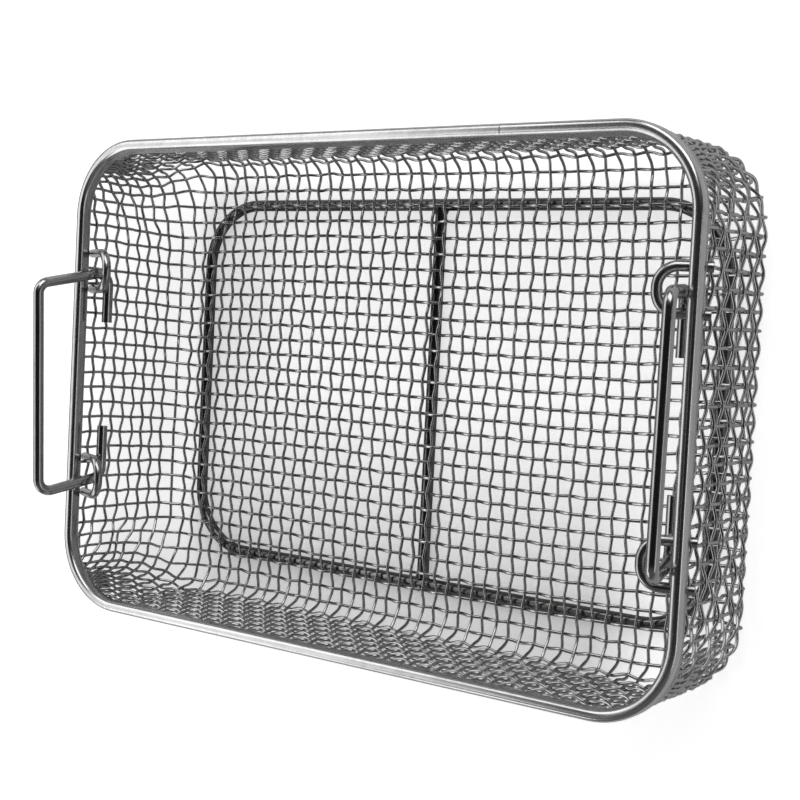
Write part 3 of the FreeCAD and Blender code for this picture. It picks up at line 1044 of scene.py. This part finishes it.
@dataclass
class BaseFrame:
    """Loop of rod and cross bar that the basket stands on.

    Attributes:
        half_x: Half the length of the loop's centreline.
        half_y: Half its width.
        corner: Bend radius of the centreline.
        radius: Radius of the rod.
    """

    half_x: float = 130.5 * MM
    half_y: float = 79.5 * MM
    corner: float = 28.0 * MM
    radius: float = 2.5 * MM

    def build(self, sweep: RodSweep, finish: Steel) -> list[Thing]:
        """Make the loop and the cross bar.

        Args:
            sweep: Tree that gives the rods their section.
            finish: Material of the rods.

        Returns:
            The loop and the bar.
        """
        x, y, z = self.half_x, self.half_y, self.radius
        corners = [Vector((sx * x, sy * y, z)) for sx, sy in ((-1, -1), (1, -1), (1, 1), (-1, 1))]
        loop = wire_mesh("base_loop_rod", [rounded_path(corners, self.corner, True)], closed=True)
        end = y - 0.9 * self.radius
        ends = [Vector((0, -end, z)), Vector((0, end, z))]
        bar = wire_mesh("base_middle_rod", [rounded_path(ends, 0.0, False)])
        made = [sweep.run(thing, self.radius, 32, finish) for thing in (loop, bar)]
        crease(made[1])
        return made

    def crossings(self, wires: list[np.ndarray]) -> list[Vector]:
        """Places where the mesh floor's wires cross the loop or the bar.

        Args:
            wires: Crossings of the weave along each wire.

        Returns:
            One place on top of the rod for each crossing.
        """
        height = 2 * self.radius + 0.15 * MM
        on_wall, least_step = 9 * MM, 3 * MM
        spots = []
        for wire in wires:
            beyond = np.abs(wire[:, :2]) - (self.half_x - self.corner, self.half_y - self.corner)
            loop = np.hypot(*np.maximum(beyond, 0).T) + np.minimum(beyond.max(axis=1), 0)
            for gap in (loop - self.corner, wire[:, 0]):
                for k in np.flatnonzero(gap[:-1] * gap[1:] < 0):
                    climbs = wire[k : k + 2, 2].max() > on_wall
                    if climbs or abs(gap[k + 1] - gap[k]) < least_step:
                        continue
                    part = gap[k] / (gap[k] - gap[k + 1])
                    x, y = (wire[k] * (1 - part) + wire[k + 1] * part)[:2]
                    if abs(y) < self.half_y + self.radius:
                        spots.append(Vector((x, y, height)))
        return spots

    def bar_ends(self) -> list[Vector]:
        """Places of the welds between the bar and the loop."""
        beside, y = 1.2 * MM, self.half_y - self.radius
        return [Vector((x, end, self.radius)) for end in (-y, y) for x in (-beside, beside)]


@dataclass
class Eyelet:
    """Rod bent to a U; both ends are welded to the mesh wall under the rim.

    Attributes:
        side: End of the basket.
        middle: Place of the eyelet along Y.
        foot_x: Distance of the welded feet from the basket's middle.
        foot_z: Height of the feet.
        slope: How steeply the U rises from the wall.
        spread: Distance between the legs.
        reach: Length of the U.
        radius: Radius of the rod.
        crown: Straight run at the U's far end.
        through: How far the ends reach through the mesh.
    """

    side: Side
    middle: float
    foot_x: float = 147.075 * MM
    foot_z: float = 59.4 * MM
    slope: float = math.radians(22)
    spread: float = 15.8 * MM
    reach: float = 15.2 * MM
    radius: float = 1.9 * MM
    crown: float = 1.4 * MM
    through: float = 3.1 * MM

    def place(self, out: float, across: float) -> Vector:
        """Point in the plane of the U.

        Args:
            out: Distance from the foot.
            across: Distance from the middle of the U.

        Returns:
            The point in the basket's frame.
        """
        level = self.foot_x - out * math.cos(self.slope)
        height = self.foot_z + out * math.sin(self.slope)
        return Vector((self.side.value * level, self.middle + across, height))

    def feet(self) -> list[Vector]:
        """Places of the two welds."""
        return [self.place(-0.7 * MM, across) for across in (-self.spread / 2, self.spread / 2)]

    def build(self, name: str, sweep: RodSweep, finish: Steel) -> Thing:
        """Make the eyelet.

        Args:
            name: Name of the piece.
            sweep: Tree that gives the rod its section.
            finish: Material of the rod.

        Returns:
            The bent rod.
        """
        half = self.spread / 2
        start = -self.through
        corners = [self.place(start, -half), self.place(self.reach, -half)]
        corners += [self.place(self.reach, half), self.place(start, half)]
        path = rounded_path(corners, half - self.crown / 2, False, 16)
        thing = sweep.run(wire_mesh(name, [path]), self.radius, 24, finish)
        crease(thing)
        return thing


@dataclass
class Bail:
    """Bent rod handle: two tails under the eyelets, two arms and a bar.

    Attributes:
        side: End of the basket.
        skew: How far the bar is shifted along Y against the tails.
        rise: How much higher one end of the bar stands.
        root: Distance of an arm's foot from the handle's middle.
        arm: Length of an arm.
        tail: Length of a tail.
        bend: Bend radius of the centreline.
        radius: Radius of the rod.
        hinge_x: Distance of the hinge from the basket's middle.
        hinge_z: Height of the hinge.
        lean: Angle of the bail's plane outwards from upright.
    """

    side: Side
    skew: float
    rise: float
    root: float = 45.5 * MM
    arm: float = 30.7 * MM
    tail: float = 22.5 * MM
    bend: float = 5.0 * MM
    radius: float = 2.25 * MM
    hinge_x: float = 140.0 * MM
    hinge_z: float = 57.459 * MM
    lean: float = math.radians(90 - 73.767)

    def place(self, y: float, up: float) -> Vector:
        """Point in the plane of the bail, at this distance up from the hinge."""
        level = self.side.value * (self.hinge_x + up * math.sin(self.lean))
        return Vector((level, y, self.hinge_z + up * math.cos(self.lean)))

    def build(self, name: str, sweep: RodSweep, finish: Steel) -> Thing:
        """Make the bail.

        Args:
            name: Name of the piece.
            sweep: Tree that gives the rod its section.
            finish: Material of the rod.

        Returns:
            The bent rod.
        """
        root, free = self.root, self.root - self.tail
        outline = [(free, 0), (root, 0), (root + self.skew, self.arm + self.rise / 2)]
        outline += [(self.skew - root, self.arm - self.rise / 2), (-root, 0), (-free, 0)]
        corners = [self.place(y, up) for y, up in outline]
        thing = wire_mesh(name, [rounded_path(corners, self.bend, False, 14)])
        sweep.run(thing, self.radius, 28, finish)
        crease(thing)
        return thing


# -------------------------------------------------------------------- studio


@dataclass(frozen=True)
class Lamp:
    """Soft rectangular lamp that points at the basket.

    Attributes:
        name: Name of the lamp.
        place: Where it hangs.
        size: Width and height of its face.
        power: Power in watts.
    """

    name: str
    place: Triple
    size: tuple[float, float]
    power: float

    def hang(self, target: Vector) -> None:
        """Hang the lamp and point it at the target."""
        data = bpy.data.lights.new(self.name, "AREA")
        data.shape, data.energy = "RECTANGLE", self.power
        data.size, data.size_y = self.size
        thing = new_object(self.name, data)
        thing.location = self.place
        aim = target - Vector(self.place)
        thing.rotation_euler = aim.to_track_quat("-Z", "Y").to_euler()


@dataclass
class Studio:
    """Plain pale floor, soft lamps and a camera at the photograph's angle.

    Attributes:
        eye: Place of the camera.
        turn: Camera angles in degrees.
        lens: Focal length at a sensor of 36 mm.
        shift: Camera shift that the photograph's framing needs.
        target: What the lamps point at.
        lamps: Lamps round the basket.
    """

    eye: Triple = (0.357034, 0.031258, 0.505651)
    turn: Triple = (-0.58681, 36.06759, 3.61516)
    lens: float = 66.31
    shift: tuple[float, float] = (-0.0204, -0.0130)
    target: Triple = (0.0, 0.0, 0.03)
    lamps: tuple[Lamp, ...] = (
        Lamp("left_lamp", (-0.97, -0.15, 0.93), (1.1, 0.85), 4.0),
        Lamp("left_rear_lamp", (-0.85, 0.75, 0.8), (0.9, 0.75), 4.0),
        Lamp("left_front_lamp", (-0.8, -0.9, 0.6), (0.8, 0.6), 2.6),
        Lamp("rear_lamp", (0.4, 1.25, 0.9), (1.5, 0.9), 11.5),
        Lamp("right_lamp", (1.15, -0.3, 0.35), (0.9, 0.3), 1.0),
    )

    def build(self) -> None:
        """Set the camera, the floor, the world and the lamps."""
        self.camera()
        self.floor()
        self.world()
        for lamp in self.lamps:
            lamp.hang(Vector(self.target))
        bpy.context.scene.view_settings.view_transform = "Standard"

    def camera(self) -> None:
        """Put the camera at the photograph's angle."""
        data = bpy.data.cameras.new("photo_camera")
        data.lens = self.lens
        data.sensor_width = 36.0
        data.sensor_fit = "HORIZONTAL"
        data.shift_x, data.shift_y = self.shift
        data.clip_start, data.clip_end = 0.01, 100.0
        thing = new_object("photo_camera", data)
        thing.location = self.eye
        thing.rotation_euler = [math.radians(angle) for angle in self.turn]
        bpy.context.scene.camera = thing

    def floor(self) -> None:
        """Lay a white floor that keeps the basket's shadow, and has a painted shadow in its glow
        under the basket.
        """
        reach = 6.0
        square = [(-reach, -reach, 0), (reach, -reach, 0), (reach, reach, 0), (-reach, reach, 0)]
        thing = new_mesh("studio_floor", square, [], [(0, 1, 2, 3)])
        thing.location.z = -0.05 * MM
        material = bpy.data.materials.new("white_floor")
        material.use_nodes = True
        bench = NodeBench(material.node_tree)
        out = bench.add("ShaderNodeOutputMaterial")
        paper = bench.add("ShaderNodeBsdfDiffuse", inputs={"Color": (0.82, 0.82, 0.82, 1)})
        glow = bench.add("ShaderNodeEmission")
        bench.link(self.glow_less_painted_shadow(bench), glow.inputs["Strength"])
        none = bench.add("ShaderNodeEmission", inputs={"Strength": 0.0})
        seen = bench.add("ShaderNodeMixShader")
        both = bench.add("ShaderNodeAddShader")
        bench.link(self.seen_rays(bench, 0.1), seen.inputs["Fac"])
        bench.join(
            (none, 0, seen, 1),
            (glow, 0, seen, 2),
            (paper, 0, both, 0),
            (seen, 0, both, 1),
            (both, 0, out, "Surface"),
        )
        thing.data.materials.append(material)

    @staticmethod
    def glow_less_painted_shadow(bench: NodeBench) -> Socket:
        """White that the floor adds: all of it beyond the lamps' reach, less under the basket,
        where a shadow is painted into it.

        This painted shadow covers the patch that the basket stands on, and is darkest towards its
        front and left.

        Args:
            bench: Bench of the floor's material.

        Returns:
            The strength.
        """
        place = bench.add("ShaderNodeTexCoord")
        away = bench.add("ShaderNodeVectorMath", operation="LENGTH")
        bench.link(place.outputs["Object"], away.inputs[0])
        white = bench.span(away.outputs["Value"], (0.3, 1.2), (0.68, 1.0))
        split = bench.add("ShaderNodeSeparateXYZ")
        bench.link(place.outputs["Object"], split.inputs[0])
        off_x = bench.math("ABSOLUTE", bench.math("ADD", split.outputs["X"], 0.06))
        off_y = bench.math("ABSOLUTE", bench.math("ADD", split.outputs["Y"], 0.005))
        # Painted shadow: the glow is lowered over the basket's footprint, most towards its front
        # and left.
        painted_shadow_patch = bench.math(
            "MULTIPLY",
            bench.span(off_x, (0.14, 0.168), (1, 0)),
            bench.span(off_y, (0.1, 0.117), (1, 0)),
        )
        front = bench.span(split.outputs["Y"], (0.0, -0.1), (0.0, 0.4))
        left = bench.span(split.outputs["X"], (-0.08, -0.16), (0.0, 0.25))
        painted_floor_shadow = bench.math("MULTIPLY", painted_shadow_patch, bench.math("MAXIMUM", front, left))
        return bench.math("SUBTRACT", white, painted_floor_shadow)

    @staticmethod
    def seen_rays(bench: NodeBench, glossy: float) -> Socket:
        """1 for camera and transmission rays, and less in the metal's own reflections.

        Args:
            bench: Bench of the material or world.
            glossy: Value for glossy rays.

        Returns:
            The value.
        """
        path = bench.add("ShaderNodeLightPath")
        shine = bench.math("MULTIPLY", path.outputs["Is Glossy Ray"], glossy)
        direct, through = path.outputs["Is Camera Ray"], path.outputs["Is Transmission Ray"]
        return bench.math("MAXIMUM", bench.math("MAXIMUM", direct, through), shine)

    def world(self) -> None:
        """White behind the object, and a dim room over it."""
        world = bpy.data.worlds.new("studio_world")
        bpy.context.scene.world = world
        world.use_nodes = True
        bench = NodeBench(world.node_tree)
        out = bench.add("ShaderNodeOutputWorld")
        backdrop = bench.add("ShaderNodeBackground", inputs={"Color": (1, 1, 1, 1)})
        tone = bench.math("MAXIMUM", self.room_tone(bench), self.seen_rays(bench, 0.01))
        bench.link(tone, backdrop.inputs["Strength"])
        bench.link(backdrop.outputs[0], out.inputs["Surface"])

    @staticmethod
    def room_tone(bench: NodeBench) -> Socket:
        """Brightness of the room: pale low walls, and a dark middle overhead.

        Args:
            bench: Bench of the world.

        Returns:
            The brightness.
        """
        place = bench.add("ShaderNodeTexCoord")
        split = bench.add("ShaderNodeSeparateXYZ")
        bench.link(place.outputs["Generated"], split.inputs[0])
        wall = bench.span(split.outputs["Z"], (0.03, 0.2), (0.38, 0.0))
        off_axis = bench.math("ABSOLUTE", split.outputs["Y"])
        sides = bench.span(off_axis, (0.15, 0.6), (0.01, 0.14))
        return bench.math("MAXIMUM", wall, sides)


# ---------------------------------------------------------------------- main


def settle(thing: Thing, body: Body, slot: Slot, *nodes: str) -> None:
    """Let a finished piece ride on its body in place of CAD nodes.

    Args:
        thing: The piece.
        body: Body that it moves with.
        slot: Material slot of the record; not used.
        *nodes: CAD nodes that it stands for.
    """
    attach(thing, body.value)
    if nodes:
        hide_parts(*nodes)
    LOG.info("%s: %d faces on %s", thing.name, len(thing.data.polygons), body.value)


def main() -> None:
    """Build the basket piece by piece, then the studio."""
    logging.basicConfig(level=logging.INFO, format="%(message)s")
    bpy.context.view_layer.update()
    sweep = RodSweep()

    beads, weld_steel = BeadScatter(), WELD_FINISH.make()
    woven = WovenMesh()
    for thing in woven.build(sweep, WIRE_FINISH.make()):
        settle(thing, Body.BASKET, Slot.MESH, "mesh_basket")

    rim = FoldedRim()
    settle(rim.build(RIM_FINISH.make()), Body.BASKET, Slot.RIM, "rim_band")
    settle(rim.seam(sweep, weld_steel), Body.BASKET, Slot.RIM)

    base = BaseFrame()
    rods = base.build(sweep, FRAME_PAINTED_SHADE_FINISH.make())
    for thing, node in zip(rods, ("base_frame", "base_cross_bar")):
        settle(thing, Body.BASKET, Slot.FRAME, node)
    spots = base.crossings(woven.crossings)
    settle(beads.run("base_spot_welds", spots, 1.1 * MM, weld_steel), Body.BASKET, Slot.FRAME)
    ends = beads.run("middle_rod_welds", base.bar_ends(), 2.2 * MM, weld_steel)
    settle(ends, Body.BASKET, Slot.FRAME)

    eyelet_steel, bail_steel = EYELET_FINISH.make(), BAIL_FINISH.make()
    feet: list[Vector] = []
    for side, end_name in ((Side.LEFT, "left"), (Side.RIGHT, "right")):
        for end, row in ((-1, "front"), (1, "rear")):
            eyelet = Eyelet(side, end * 45.5 * MM)
            piece = eyelet.build(f"{end_name}_{row}_eyelet_rod", sweep, eyelet_steel)
            settle(piece, Body.BASKET, Slot.BAIL, f"eyelet_{end_name}_{row}")
            feet += eyelet.feet()
    welds = beads.run("eyelet_foot_welds", feet, 2.0 * MM, weld_steel)
    settle(welds, Body.BASKET, Slot.BAIL)
    left = Bail(Side.LEFT, -7.0 * MM, 3.6 * MM).build("left_bail_rod", sweep, bail_steel)
    settle(left, Body.LEFT, Slot.BAIL, "bail_left")
    right = Bail(Side.RIGHT, -1.5 * MM, -3.6 * MM).build("right_bail_rod", sweep, bail_steel)
    settle(right, Body.RIGHT, Slot.BAIL, "bail_right")

    Studio().build()


if __name__ == "__main__":
    main()
